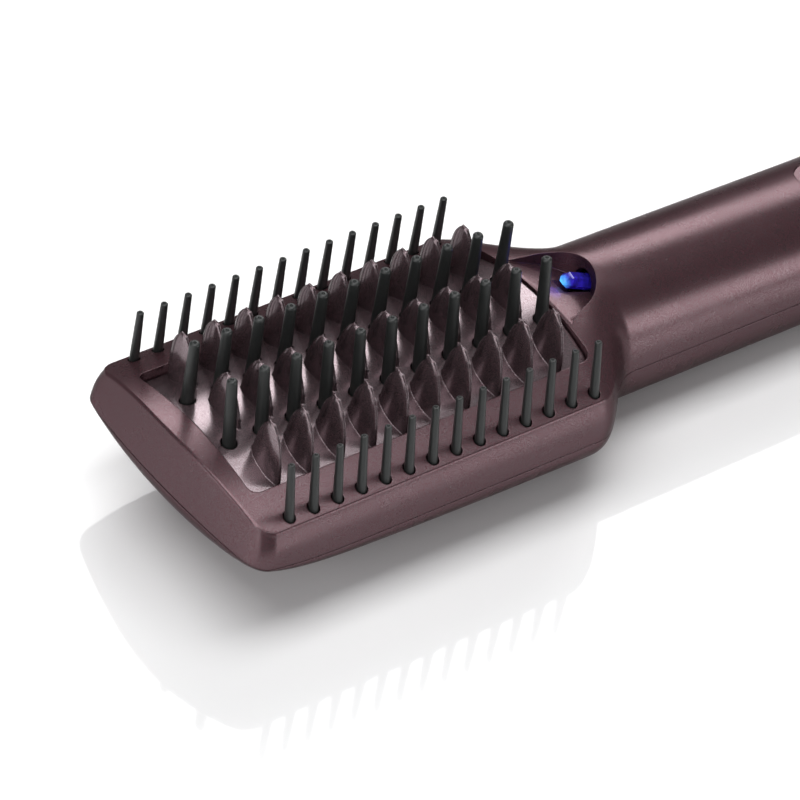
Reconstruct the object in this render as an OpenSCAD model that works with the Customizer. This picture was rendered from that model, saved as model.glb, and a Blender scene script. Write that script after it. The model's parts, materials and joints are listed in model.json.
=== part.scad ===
// Hot air straightening brush: a paddle head with a finned air plate and four rows of
// bristles on a round handle. X runs from the tip of the head to the cord end, Z points
// out of the bristle face, and the shells part on the plane of the handle's axis.

/* [Head] */
// Length of the brush from the tip to the end of the cord collar
total_len = 322; // [300:1:340]
// Distance from the tip to the first side bristle
tip_reach = 14.05; // [13:0.05:15]
// Half width of the head at the parting line
head_half_w = 37.3; // [36:0.1:39]
// Half width of the bristle face between its outer edges
face_half_w = 35.85; // [34.5:0.05:36.2]
// Height of the face's crest above the parting line
face_crest = 19.2; // [18.5:0.1:20]
// Radius of the face's camber across the brush
face_r = 88; // [75:1:100]
// Depth of the belly below the parting line
belly_d = 18; // [15:0.5:20]
// Corner radius of the tip in plan
corner_r = 5.2; // [4:0.1:8]
// Height by which the parting line rises at the tip
tip_rise = 4; // [0:0.5:5]
// Thickness of the shell walls
wall = 2.2; // [1.8:0.1:2.6]

/* [Side bristles] */
// Number of bristles in each side row
side_n = 14; // [10:1:14]
// Spacing of the side bristles
side_pitch = 7; // [6.5:0.1:7]
// Distance of the side rows from the middle plane
side_row = 33.1; // [32.5:0.1:33.3]
// Length of a side bristle above the face
side_h = 15.6; // [14:0.1:18]
// Radius of a side bristle at the face
side_r = 1.22; // [1:0.02:1.3]
// Radius of a side bristle at its tip
side_tip_r = 0.9; // [0.7:0.05:1]

/* [Centre bristles] */
// Number of bristles in each centre row
centre_n = 11; // [8:1:11]
// Distance of the centre rows from the middle plane
centre_row = 8.85; // [8.5:0.05:9.2]
// Height of the centre bristle tips above the parting line
centre_top = 37; // [34:0.1:39]
// Radius of a centre bristle at the plate
centre_r = 1.7; // [1.5:0.05:1.9]
// Radius of a centre bristle at its tip
centre_tip_r = 1.35; // [1.1:0.05:1.4]

/* [Fin plate] */
// Half width of the air plate
plate_half_w = 24.6; // [24:0.1:24.6]
// Height of the plate's crest above the parting line
plate_crest = 18.85; // [18:0.05:19]
// Radius of the plate's camber
plate_r = 52; // [50:1:60]
// Thickness of the plate
plate_t = 1.8; // [1.5:0.1:2]
// Number of fins in each of the three rows
fin_n = 10; // [6:1:10]
// Width of an air slot
slot_w = 1.5; // [1.2:0.1:2]

/* [Handle] */
// Radius of the handle
handle_r = 20.25; // [19.5:0.05:21]
// Share by which the handle's upper side swells next to the head
swell = 0.1; // [0:0.01:0.12]
// Travel of the mode slider over its four positions
mode_travel = 9; // [6:1:9]
// Travel of the cool air button
cool_travel = 1.6; // [1:0.1:1.6]
// Bore of the cord collar
cord_bore_d = 7; // [6:0.5:8]
// Number of fan blades
blade_n = 9; // [7:1:11]

/* [Hidden] */

tip_x = -tip_reach;
neck_x0 = 91.5;
neck_len = 23.5;
neck_x1 = neck_x0 + neck_len;
swell_x1 = 190;
tail_x = total_len - tip_reach;
shell_end = tail_x - 18;
mid_x = tip_x + total_len / 2;
seam = 0.12;
steps = 10;
bore_r = handle_r - wall;
neck_r = handle_r - 0.03;

win_x0 = -5.2;
win_x1 = 96.6;
win_w = 24.9;
win_r = 3.5;
win_tip_r = 1.2;
fin_pitch = 28 / 3;
fin_x = 2.9;
centre_x = -1.13;
side_lean = 4.2;
centre_lean = 3.05;
rise_tilt = 14.4;
rise_r = 84;
fin_edge = 0.5;
emit_tip = [105.5, 0, 19.05];
emit_tilt = 25.5;

heat_x0 = 124;
heat_x1 = 178.5;
board_x0 = 186.5;
board_x1 = 230;
board_z = 8.4;
panel_z = 18.9;
pad_z = 16.4;
cool_x = 192;
mode_x = 221;
fan_x = 237;
motor_x = 249;
tail_in = shell_end - 6.8;
cap_end = tail_x - 5.8;
screws = [[8, 26, -4.2], [8, -26, -4.2], [84, 26, -8], [84, -26, -8], [183, 0, -15.5]];

shell_c = [0.36, 0.23, 0.27];
plate_c = [0.42, 0.28, 0.32];
bristle_c = [0.21, 0.22, 0.22];
dark_c = [0.12, 0.12, 0.13];
metal_c = [0.72, 0.73, 0.75];
mica_c = [0.72, 0.68, 0.58];
copper_c = [0.72, 0.45, 0.28];

// Moves the working frame, which starts on the handle's axis under the first side bristle,
// to the middle of the brush at the height of the surface that the brush lies on
module place() translate([-mid_x, 0, handle_r]) children();

// Height above the parting line of the cambered face and of the air plate
function face_z(y) = face_crest - face_r + sqrt(face_r * face_r - y * y);
function plate_z(y) = plate_crest - plate_r + sqrt(plate_r * plate_r - y * y);

// Share of the neck's blend at a station: 0 on the head and 1 on the round handle
function neck(x) = x <= neck_x0 ? 0 : x >= neck_x1 ? 1 :
  (1 - cos(180 * (x - neck_x0) / neck_len)) / 2;

// Share of the handle's swelling, which fades out along its upper side
function swelling(x) = max(0, min(1, (swell_x1 - x) / (swell_x1 - neck_x1)));

// Height of the line between the shells, which curves up towards the tip
function part_z(x) = tip_rise * pow(max(0, 1 - max(0, x - tip_x) / 40), 3);

// Amount by which a corner of radius r draws in at a distance d from the end
function corner(d, r) = let (g = r - min(r, max(0, d))) r - sqrt(r * r - g * g);

function half_w(x, e) = (1 - neck(x)) * (head_half_w - corner(x - tip_x - e, corner_r - e / 2))
  + neck(x) * neck_r - e;
function belly(x, e) = let (run = neck_x0 - tip_x - e, k = min(1, (neck_x0 - x) / run))
  x >= neck_x0 ? belly_d + (neck_r - belly_d) * neck(x) - e
  : (belly_d + part_z(x) - 0.1 - e) * sqrt(max(0, 1 - k * k)) + 0.1;
function wall_top(x) = (face_crest - 1.2) - part_z(x);

// Upper quarter of a section from the parting line, i = 0, to the crest, i = steps
function head_pt(i, x, e) = let (w = half_w(min(x, neck_x0), e),
    t = w - head_half_w + face_half_w, drop = corner(x - tip_x - e, 0.8) + e,
    z0 = part_z(x))
  i <= 3 ? [w + 0.5 * sin(60 * i) - (w - t) * pow(i / 3, 1.6),
    z0 + (face_z(t + e) - drop - 0.7 - z0) * i / 3] :
  let (y = (t - 0.7) * cos(90 * pow((i - 4) / (steps - 4), 0.8))) [y, face_z(y) - drop];
function round_pt(i, x, e) = let (r = neck_r - e, k = e > 0 ? 0 : swell * swelling(x),
    a = i <= 4 ? 12 * i : 48 + 42 * pow((i - 4) / (steps - 4), 0.9))
  [r * cos(a), r * (1 + k) * sin(a)];
function upper_pt(i, x, e) = (1 - neck(x)) * head_pt(i, x, e) + neck(x) * round_pt(i, x, e);
function lower_pt(i, x, e) = let (z0 = part_z(x), z1 = belly(x, e),
    k = e > 0 ? 0 : 0.3 * swell * neck(x) * swelling(x))
  [half_w(x, e) * cos(90 * i / steps), z0 - z1 * (1 - k) * sin(90 * i / steps)];

// The tip is bowed in plan, more at its top edge, and leans back towards that edge; both
// fade out along the head
function bow(x, y, z) = let (t = min(1, max(0, (z - part_z(x)) / wall_top(x))))
  x + max(0, 1 - (x - tip_x) / 24) * (1.85 * t + y * y * ((1 - t) / 550 + t / 230));
function at(x, y, z) = [bow(x, y, z), y, z];
function ring(x, e, g) = concat(
  [for (i = [0:g:steps]) let (p = upper_pt(i, x, e)) at(x, p[0], p[1])],
  [for (i = [steps - g:-g:0]) let (p = upper_pt(i, x, e)) at(x, -p[0], p[1])],
  [for (i = [g:g:steps]) let (p = lower_pt(i, x, e)) at(x, -p[0], p[1])],
  [for (i = [steps - g:-g:g]) let (p = lower_pt(i, x, e)) at(x, p[0], p[1])]);

// Stations of the loft: close together round the tip and through the neck
function stations(e, g) = concat(
  [for (a = [0:15 * g:90]) tip_x + e + corner_r * (1 - cos(a))],
  [for (k = [g:g:6]) let (x0 = tip_x + e + corner_r) x0 + (neck_x0 - x0) * k / 6],
  [for (k = [g:g:10]) neck_x0 + neck_len * k / 10],
  e > 0 ? [neck_x1 + 1] : [130, 160, swell_x1, swell_x1 + 1]);

// Closed loft through rings of equal count; each end is capped by strips across it
module loft(rings) {
  m = len(rings[0]);
  h = m / 2;
  last = (len(rings) - 1) * m;
  skin = [for (s = [0:len(rings) - 2], j = [0:m - 1])
    let (a = s * m + j, b = s * m + (j + 1) % m) each [[a, a + m, b + m], [a, b + m, b]]];
  strips = [for (j = [0:h - 1]) each j == 0 ? [[0, 1, m - 1]]
    : j == h - 1 ? [[j, j + 1, m - j]]
    : [[j, j + 1, m - j - 1], [j, m - j - 1, m - j]]];
  end = [for (f = strips) [last + f[0], last + f[2], last + f[1]]];
  polyhedron([for (r = rings) each r], concat(skin, strips, end), convexity = 8);
}

// Outer form drawn in by e; the surfaces inside the walls take every second point
module form(e) let (g = e > 0 ? 2 : 1) loft([for (x = stations(e, g)) ring(x, e, g)]);

module along_x(x, len, r, fn = 96) translate([x, 0, 0]) rotate([0, 90, 0])
  cylinder(r = r, h = len, $fn = fn);

module tube_x(x, len, r_out, r_in, fn = 96) difference() {
  along_x(x, len, r_out, fn);
  along_x(x - 1, len + 2, r_in, fn);
}

module box(a, b) translate(a) cube(b - a);

// Box with its four upright edges rounded
module soft_box(a, b, r) {
  box([a[0] + r, a[1], a[2]], [b[0] - r, b[1], b[2]]);
  box([a[0], a[1] + r, a[2]], [b[0], b[1] - r, b[2]]);
  for (x = [a[0] + r, b[0] - r], y = [a[1] + r, b[1] - r])
    translate([x, y, a[2]]) cylinder(r = r, h = b[2] - a[2], $fn = 32);
}

module body_form(e) {
  x0 = e > 0 ? neck_x1 : swell_x1;
  form(e);
  along_x(x0, shell_end - x0, handle_r - e);
}

module body_hollow(e) {
  form(e);
  along_x(neck_x1, shell_end - neck_x1 + 1, handle_r - e);
}

module above(z) box([tip_x - 5, -60, z], [tail_x + 5, 60, 60]);

// Slab across the brush between two heights over the parting line, up to the station x1
module along_part(z0, z1, x1) let (run = concat([tip_x - 1], [for (k = [0:12]) tip_x + 40 * k / 12]))
  translate([0, 50, 0]) rotate([90, 0, 0]) linear_extrude(100) polygon(concat(
    [for (x = run) [x, part_z(x) + z0]], [[x1, z0], [x1, z1]],
    [for (k = [len(run) - 1:-1:0]) [run[k], part_z(run[k]) + z1]]));

// Opening of the bristle face, grown by d, between two heights: squarer at the tip
module window(d, z0, z1) {
  x0 = win_x0 - d;
  x1 = win_x1 + d;
  w = win_w + d;
  r0 = max(0.4, win_tip_r + d);
  r1 = win_r + d;
  box([x0 + r0, -w, z0], [x1 - r1, w, z1]);
  box([x0, r0 - w, z0], [x0 + 10, w - r0, z1]);
  box([x1 - 10, r1 - w, z0], [x1, w - r1, z1]);
  for (s = [-1, 1]) {
    translate([x0 + r0, s * (w - r0), z0]) cylinder(r = r0, h = z1 - z0, $fn = 32);
    translate([x1 - r1, s * (w - r1), z0]) cylinder(r = r1, h = z1 - z0, $fn = 32);
  }
}

// Rim that carries the air plate: an upright wall round it and a narrow ledge below it
module plate_rim() {
  difference() {
    intersection() {
      window(1.6, 9, 20);
      translate([0, 0, face_crest - face_r]) along_x(-9, 110, face_r - 0.7, 180);
    }
    window(0, 8, 21);
  }
  difference() {
    intersection() {
      window(0.4, 9, 20);
      translate([0, 0, plate_crest - plate_r])
        along_x(-9, 110, plate_r - plate_t - 0.1, 180);
    }
    window(-1.5, 8, 21);
  }
}

// Horseshoe hollow behind the air plate whose floor falls away from the bristle face
module rise_plan(d) polygon(concat(
  [[win_x1 - 2, 17.2 + d], [99.1 + d / 2, 13.1 + d]],
  [for (a = [75:-10:-75]) [100 + (12.9 + d) * cos(a), (11.9 + d) * sin(a)]],
  [[99.1 + d / 2, -13.1 - d], [win_x1 - 2, -17.2 - d]]));
module rise_floor(e) translate([win_x1, 0, 19.1]) rotate([0, rise_tilt, 0])
  translate([0, 0, -rise_r]) along_x(-20, 60, rise_r - e, 120);
module rise_cut() difference() {
  translate([0, 0, 8]) linear_extrude(16) rise_plan(0);
  rise_floor(0);
}
module rise_pad() intersection() {
  difference() {
    translate([0, 0, 8]) linear_extrude(11) rise_plan(1.8);
    rise_floor(1.9);
    translate([0, 0, 7]) window(0, 0, 20);
  }
  form(0.7);
}
module emit_axis() translate(emit_tip) rotate([0, 90 + emit_tilt, 0]) children();

// One bristle with its foot at the origin, pointing up and rounded at the tip
module bristle(h, r0, r1, root) {
  cylinder(r1 = r0, r2 = r1, h = h - r1, $fn = 24);
  translate([0, 0, h - r1]) sphere(r = r1, $fn = 24);
  translate([0, 0, -root]) cylinder(r = r0, h = root + 0.01, $fn = 24);
}
module on_side(i, s) translate([i * side_pitch, s * side_row, face_z(side_row)])
  rotate([s * side_lean, 0, 0]) children();
module on_centre(i, s) translate([centre_x + i * fin_pitch, s * centre_row,
  plate_z(centre_row)]) rotate([s * centre_lean, 0, 0]) children();

module front_shell() color(shell_c) difference() {
  union() {
    intersection() {
      difference() {
        body_form(0);
        body_hollow(wall);
      }
      along_part(seam / 2, 60, shell_end + 1);
    }
    plate_rim();
    rise_pad();
    // Pad under the control panel, ledges of the circuit board and screw posts
    intersection() {
      along_x(181, 54, handle_r - 0.5);
      union() {
        box([181, -8.5, pad_z], [235, 8.5, handle_r]);
        for (s = [-1, 1]) translate([0, s * 15.6, 0])
          box([board_x0, -3, board_z - 1.6], [board_x1, 3, board_z - 0.05]);
        translate([183, 0, seam / 2]) cylinder(r = 3, h = 19, $fn = 32);
      }
    }
    for (p = screws) if (p[0] < 100) translate([p[0], p[1], seam / 2])
      cylinder(r = 3, h = 9.4, $fn = 32);
  }
  window(0, 12.4, 24);
  rise_cut();
  emit_axis() translate([0, 0, -0.4]) cylinder(r = 2.7, h = 16.4, $fn = 36);
  for (s = [-1, 1]) {
    for (i = [0:side_n - 1]) on_side(i, s) translate([0, 0, -6])
      cylinder(r = 1.6, h = 9, $fn = 24);
    box([-2.3, min(s * 29.7, s * 34.3), 6.8], [94.3, max(s * 29.7, s * 34.3), 10.2]);
  }
  // Lap joint along the parting line
  intersection() {
    body_hollow(1.15);
    along_part(-1, 1.7, shell_end - 8);
  }
  // Flat control panel with the button's bore and the slider's slot
  soft_box([182, -7.1, panel_z], [234, 7.1, 24], 7);
  translate([cool_x, 0, 10]) cylinder(r = 4.6, h = 12, $fn = 48);
  soft_box([mode_x - mode_travel - 2.4, -1.9, 10], [mode_x + 2.4, 1.9, 22], 1.8);
  for (p = screws) translate([p[0], p[1], -1]) cylinder(r = 1.15, h = 8, $fn = 24);
}

module back_shell() color(shell_c) difference() {
  union() {
    difference() {
      union() {
        intersection() {
          body_form(0);
          along_part(-60, -seam / 2, shell_end + 1);
        }
        // Tongue of the lap joint
        intersection() {
          body_form(1.3);
          along_part(-1.9, 1.5, shell_end - 9);
        }
      }
      body_hollow(wall);
    }
    // Screw posts and the posts of the air guide, cut to the outer form
    intersection() {
      body_form(0.6);
      union() {
        for (p = screws) translate([p[0], p[1], -21])
          cylinder(r = 4, h = 21 - seam / 2, $fn = 32);
        for (s = [-1, 1]) {
          translate([25, s * 12, -21]) cylinder(r = 2, h = 21 + guide_z(27) - 0.75, $fn = 24);
          translate([70, s * 12, -21]) cylinder(r = 2, h = 21 + guide_z(72) - 0.75, $fn = 24);
        }
      }
    }
  }
  for (p = screws) translate([p[0], p[1], -22]) {
    cylinder(r = 1.5, h = 26, $fn = 24);
    cylinder(r = 2.9, h = 22 + p[2], $fn = 32);
  }
}

// A fin at rising heights: [z, inner edge, outer edge, front, back, squareness in plan]
side_fin = [[0, 11.6, 24.2, -0.7, 1.1, 8], [18.2, 12.1, 23.9, -0.75, 1.1, 6],
  [21.5, 13.1, 23.5, -0.7, 1.05, 4], [24.8, 14.3, 22.8, -0.45, 1, 3],
  [27.2, 15.4, 21.9, -0.15, 0.95, 3], [28.9, 16.5, 20.5, 0.15, 0.9, 3],
  [29.75, 17.5, 18.9, 0.35, 0.85, 3]];
mid_fin = [[0, -6.6, 6.6, -0.7, 1.1, 8], [19.6, -6.4, 6.4, -0.75, 1.1, 6],
  [21.6, -6, 6, -0.7, 1.05, 4], [23.9, -5.15, 5.15, -0.5, 1, 3],
  [26.6, -3.9, 3.9, -0.2, 0.95, 3], [29.2, -2.3, 2.3, 0.1, 0.9, 3],
  [30.9, -0.6, 0.6, 0.35, 0.85, 3]];

// Ring of a fin: straight across the front at the foot, where it is square in plan, and
// drawn back to a rounded ridge higher up. The lowest ring lies inside the plate and
// follows its camber.
function fin_ring(f, s) = let (c = (f[1] + f[2]) / 2, w = (f[2] - f[1]) / 2)
  [for (j = [0:11]) let (v = cos(30 * j), k = 1 - pow(abs(v), f[5]), y = s * (c + w * v),
      x = fin_edge + (f[j <= 6 ? 3 : 4] - fin_edge) * k)
    [x, y, f[0] == 0 ? plate_z(y) - 0.9 : f[0]]];
function turned(r, s) = s > 0 ? [for (j = [0:11]) r[(12 - j) % 12]] : r;
module fin(rows, s) loft([for (f = rows) turned(fin_ring(f, s), -s)]);

module fin_plate() color(plate_c) difference() {
  union() {
    intersection() {
      window(-0.3, 8, 24);
      translate([0, 0, plate_crest - plate_r])
        tube_x(-9, 110, plate_r, plate_r - plate_t, 180);
      above(8);
    }
    for (i = [0:fin_n - 1]) translate([fin_x + i * fin_pitch, 0, 0]) {
      fin(mid_fin, 1);
      fin(side_fin, 1);
      fin(side_fin, -1);
    }
  }
  for (i = [0:fin_n - 1]) translate([fin_x + i * fin_pitch + 1, 0, 0]) {
    box([0, -6.2, 14], [slot_w, 6.2, 20]);
    for (s = [-1, 1]) box([0, min(s * 12.6, s * 25.5), 8], [slot_w, max(s * 12.6, s * 25.5), 20]);
  }
  for (i = [0:centre_n - 1], s = [-1, 1]) on_centre(i, s)
    translate([0, 0, -6]) cylinder(r = 2.1, h = 9, $fn = 24);
}

module side_comb(s) color(bristle_c) {
  box([-2, min(s * 30, s * 34), 7], [93.2, max(s * 30, s * 34), 10]);
  for (i = [0:side_n - 1]) on_side(i, s) bristle(side_h, side_r, side_tip_r, 5);
}
module side_comb_near() side_comb(-1);
module side_comb_far() side_comb(1);

module centre_comb(s) color(bristle_c) {
  box([-2.9, min(s * 6.7, s * 11), 12.9], [94.6, max(s * 6.7, s * 11), 15.75]);
  for (i = [0:centre_n - 1]) on_centre(i, s)
    bristle(centre_top - plate_z(centre_row), centre_r, centre_tip_r, 4);
}
module centre_comb_near() centre_comb(-1);
module centre_comb_far() centre_comb(1);

module ion_emitter() color([0.35, 0.45, 1]) emit_axis() {
  cylinder(r1 = 1.5, r2 = 2.45, h = 1.8, $fn = 6);
  translate([0, 0, 1.8]) cylinder(r = 2.45, h = 11.4, $fn = 6);
}

module emitter_holder() color(dark_c) emit_axis() {
  difference() {
    translate([0, 0, 11.6]) cylinder(r = 3.9, h = 4, $fn = 36);
    translate([0, 0, 11]) cylinder(r = 2.5, h = 2.4, $fn = 36);
  }
  translate([0, 0, 15.5]) cylinder(r = 0.8, h = 3, $fn = 24);
}

module ion_generator() color(dark_c) {
  soft_box([199, -7.5, -1], [220, 7.5, board_z - 0.1], 1.5);
  for (s = [-1, 1]) translate([197.5, s * 4, 5]) rotate([0, 90, 0])
    cylinder(r = 1.2, h = 2, $fn = 24);
}

module heater_tube() color(mica_c) {
  tube_x(heat_x0, heat_x1 - heat_x0, 17.3, 16.7);
  for (x = [heat_x0, heat_x1 - 2]) tube_x(x, 2, bore_r - 0.08, 16.9);
}

module heater_frame() color(mica_c) {
  for (a = [0, 90]) rotate([a, 0, 0]) {
    box([128, -12.25, -0.5], [176, 12.25, 0.5]);
    for (x = [128, 173]) box([x, -16.6, -0.5], [x + 3, 16.6, 0.5]);
  }
  box([117, -8, -0.5], [128.1, 8, 0.5]);
}

module heater_coils() color(metal_c) {
  for (k = [0:7]) translate([135 + 5 * k, 0, 0]) rotate([0, 90, 0])
    rotate_extrude($fn = 64) translate([13, 0]) circle(r = 0.6, $fn = 16);
  for (k = [0:6]) rotate([k % 2 == 0 ? 45 : 225, 0, 0])
    translate([135 + 5 * k, 13, 0]) rotate([0, 90, 0]) cylinder(r = 0.5, h = 5, $fn = 16);
}

module thermostat() color(metal_c) {
  translate([122.5, -3.5, 0.55]) cylinder(r = 4.2, h = 2.2, $fn = 36);
  translate([122.5, -3.5, 2.7]) cylinder(r = 3.4, h = 1.6, $fn = 36);
}

module thermal_fuse() color([0.85, 0.85, 0.8]) {
  translate([118.5, 4.4, 2.2]) rotate([0, 90, 0]) cylinder(r = 1.6, h = 7.5, $fn = 24);
  for (x = [117.5, 125.9]) translate([x, 4.4, 2.2]) rotate([0, 90, 0])
    cylinder(r = 0.5, h = 1.2, $fn = 16);
}

// Height of the sloping air guide at a station
function guide_z(x) = 6.6 - 0.19 * x;
module air_guide() color(mica_c) {
  translate([0, 20.8, 0]) rotate([90, 0, 0]) linear_extrude(41.6)
    polygon([[2, guide_z(2) - 0.6], [96, guide_z(96) - 0.6], [96, guide_z(96) + 0.6],
      [2, guide_z(2) + 0.6]]);
  for (y = [-20.2, 0, 20.2]) translate([0, y + 0.6, 0]) rotate([90, 0, 0]) linear_extrude(1.2)
    polygon([[4, guide_z(4)], [94, guide_z(94)], [94, guide_z(94) + 4], [4, guide_z(4) + 1.5]]);
}

module fan_impeller() color(dark_c) difference() {
  intersection() {
    union() {
      along_x(fan_x + 2, 7, 7, 48);
      along_x(fan_x + 0.5, 1.6, 5.5, 48);
      for (k = [0:blade_n - 1]) rotate([k * 360 / blade_n, 0, 0])
        translate([fan_x + 5.3, 0, 6]) rotate([0, 0, 38])
          box([-4.4, -0.6, 0], [4.4, 0.6, 12]);
    }
    along_x(fan_x, 12, 16.8);
  }
  along_x(fan_x - 1, 14, 1.03, 24);
}

module motor_shaft() color(metal_c) along_x(fan_x - 0.5, 39.5, 1, 24);

module fan_motor() color(metal_c) difference() {
  union() {
    along_x(motor_x, 26, 12, 64);
    along_x(motor_x - 1.5, 2, 4, 36);
    along_x(motor_x + 25.5, 2, 4, 36);
  }
  along_x(motor_x - 3, 40, 1.06, 24);
}

module motor_carrier() color(dark_c) {
  tube_x(motor_x + 1, 7, 13.6, 12.08, 64);
  tube_x(motor_x + 1, 7, bore_r - 0.08, 17);
  for (k = [0:5]) rotate([k * 60 + 30, 0, 0])
    box([motor_x + 1, -0.7, 13.3], [motor_x + 8, 0.7, 17.3]);
}

module motor_damper() color([0.2, 0.2, 0.2]) {
  tube_x(motor_x + 17, 5, 13.8, 12.06, 64);
  for (k = [0:3]) rotate([k * 90 + 45, 0, 0]) intersection() {
    box([motor_x + 17, -2.5, 13.5], [motor_x + 22, 2.5, 18.5]);
    along_x(motor_x + 16, 8, bore_r - 0.08);
  }
}

module circuit_board() color([0.1, 0.3, 0.18]) {
  box([board_x0, -14.2, board_z], [board_x1, 14.2, board_z + 1.6]);
  for (p = [[204, 9, 3], [204, -9, 3], [190, -9.8, 2.4]]) translate([p[0], p[1], board_z + 1.5])
    cylinder(r = p[2], h = 3, $fn = 32);
  for (s = [-1, 1]) box([211, s * 9.8 - 2.2, board_z + 1.5], [227, s * 9.8 + 2.2, board_z + 3.2]);
}

module mode_switch() color(dark_c) difference() {
  box([mode_x - mode_travel - 4, -4.5, board_z + 1.65], [mode_x + 4, 4.5, 14.2]);
  box([mode_x - mode_travel - 2.4, -1.9, 12.2], [mode_x + 2.4, 1.9, 15]);
}

module mode_slider() color([0.16, 0.13, 0.14]) {
  difference() {
    soft_box([mode_x - 7, -4.6, panel_z + 0.2], [mode_x + 7, 4.6, panel_z + 2.4], 4.5);
    for (k = [-2:2]) translate([mode_x + k * 2.2, 0, panel_z + 2.6]) rotate([90, 0, 0])
      translate([0, 0, -6]) cylinder(r = 0.7, h = 12, $fn = 24);
  }
  soft_box([mode_x - 2, -1.5, 12.5], [mode_x + 2, 1.5, panel_z + 0.4], 1.4);
  soft_box([mode_x - mode_travel - 2.8, -2.8, 15.1], [mode_x + mode_travel + 2.8, 2.8, 16.1], 2);
}

module cool_switch() color(dark_c) {
  soft_box([cool_x - 5, -5, board_z + 1.65], [cool_x + 5, 5, 11.6], 0.8);
  translate([cool_x, 0, 11.5]) cylinder(r = 1.6, h = 1.8, $fn = 24);
}

module cool_button() color([0.16, 0.13, 0.14]) {
  difference() {
    translate([cool_x, 0, 15.2]) cylinder(r = 4.35, h = 5, $fn = 48);
    translate([cool_x, 0, 29.4]) sphere(r = 10, $fn = 96);
  }
  translate([cool_x, 0, 15.2]) cylinder(r = 5.3, h = 1.1, $fn = 48);
}

module button_spring() color(metal_c) translate([cool_x, 0, 0]) {
  for (z = [11.95, 12.9, 13.85, 14.85]) translate([0, 0, z]) rotate_extrude($fn = 48)
    translate([3.2, 0]) circle(r = 0.32, $fn = 16);
  for (k = [0:2]) rotate([0, 0, 180 * k]) translate([3.2, 0, 11.95 + 0.95 * k])
    cylinder(r = 0.3, h = 1, $fn = 16);
}

module tail_plate() color(dark_c) difference() {
  union() {
    along_x(tail_in, 2.4, bore_r - 0.08);
    along_x(tail_in, 8, 10.4, 64);
  }
  along_x(tail_in - 1, 12, 8.05, 64);
  for (k = [0:11]) rotate([30 * k, 0, 0]) translate([tail_in - 1, 0, 14.2]) rotate([0, 90, 0])
    cylinder(r = 2.7, h = 5, $fn = 32);
}

module filter_cap() color(shell_c) difference() {
  union() {
    rotate([0, 90, 0]) rotate_extrude($fn = 96) polygon(concat(
      [[10.7, cap_end], [17.6, cap_end]],
      [for (a = [75:-15:0]) [17.6 + 2.65 * cos(a), cap_end - 2.65 + 2.65 * sin(a)]],
      [[handle_r, shell_end + 0.2], [bore_r - 0.15, shell_end + 0.2],
        [bore_r - 0.15, shell_end - 3.6], [16.8, shell_end - 3.6], [16.8, shell_end + 3],
        [17.6, shell_end + 4], [17.6, cap_end - 2], [12, cap_end - 2],
        [12, shell_end + 4], [10.7, shell_end + 4]]));
  }
  for (k = [0:23]) rotate([15 * k, 0, 0])
    box([cap_end - 3, -0.6, 12.4], [cap_end + 1, 0.6, 17.2]);
  for (k = [0:35]) rotate([10 * k, 0, 0])
    box([shell_end + 4.6, -0.5, 16], [cap_end - 4, 0.5, 22]);
}

module filter_mesh() color(metal_c) difference() {
  tube_x(cap_end - 2.9, 0.7, 17.55, 12.05, 64);
  for (k = [0:23], r = [13.2, 14.8, 16.4]) rotate([15 * k, 0, 0])
    translate([cap_end - 4, 0, r]) rotate([0, 90, 0]) cylinder(r = 0.55, h = 4, $fn = 16);
}

module cord_collar() color(dark_c) difference() {
  union() {
    along_x(tail_in - 3, 9 + 3, 8, 64);
    along_x(tail_in + 8.1, 1.8, 9.8, 64);
    translate([tail_in + 9.8, 0, 0]) rotate([0, 90, 0])
      cylinder(r1 = 8, r2 = 6.2, h = tail_x - tail_in - 9.8, $fn = 64);
  }
  along_x(tail_in - 5, 40, cord_bore_d / 2, 48);
  tube_x(tail_in - 1.5, 1.4, 10, 7, 64);
}

module collar_clip() color(metal_c) difference() {
  tube_x(tail_in - 1.4, 1.2, 9.7, 7.05, 64);
  box([tail_in - 3, -2.2, -12], [tail_in + 1, 2.2, -5]);
}

module shell_screws() color(metal_c) for (p = screws) translate([p[0], p[1], p[2]])
  difference() {
    union() {
      translate([0, 0, -1.85]) cylinder(r = 2.5, h = 1.8, $fn = 32);
      translate([0, 0, -0.1]) cylinder(r = 1.1, h = 6.4 - p[2], $fn = 24);
    }
    for (a = [0, 90]) rotate([0, 0, a]) box([-1.6, -0.3, -2.5], [1.6, 0.3, -0.9]);
  }

// Straight run of insulated wire between two points
module wire(p, q) {
  d = q - p;
  translate(p) sphere(r = 0.6, $fn = 24);
  translate(q) sphere(r = 0.6, $fn = 24);
  translate(p) rotate([0, acos(d[2] / norm(d)), atan2(d[1], d[0])])
    cylinder(r = 0.45, h = norm(d), $fn = 24);
}
module inner_wires() color([0.75, 0.2, 0.15]) for (s = [-1, 1]) {
  wire([188, s * 10.5, board_z - 0.55], [183, s * 10.5, 6]);
  wire([183, s * 10.5, 6], [175, s * 10.5, 1.2]);
  wire([224, s * 10.5, board_z - 0.55], [226, s * 16.4, -5.9]);
  wire([226, s * 16.4, -5.9], [248, s * 16.4, -5.9]);
  wire([248, s * 16.4, -5.9], [248.3, s * 9, -3.2]);
}

place() front_shell();
place() back_shell();
place() fin_plate();
place() side_comb_near();
place() side_comb_far();
place() centre_comb_near();
place() centre_comb_far();
place() ion_emitter();
place() emitter_holder();
place() ion_generator();
place() heater_tube();
place() heater_frame();
place() heater_coils();
place() thermostat();
place() thermal_fuse();
place() air_guide();
place() fan_impeller();
place() motor_shaft();
place() fan_motor();
place() motor_carrier();
place() motor_damper();
place() circuit_board();
place() mode_switch();
place() mode_slider();
place() cool_switch();
place() cool_button();
place() button_spring();
place() tail_plate();
place() filter_cap();
place() filter_mesh();
place() cord_collar();
place() collar_clip();
place() shell_screws();
place() inner_wires();
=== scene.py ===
import json
import math
import bmesh
import bpy
import numpy as np
from mathutils import Matrix, Vector

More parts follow.
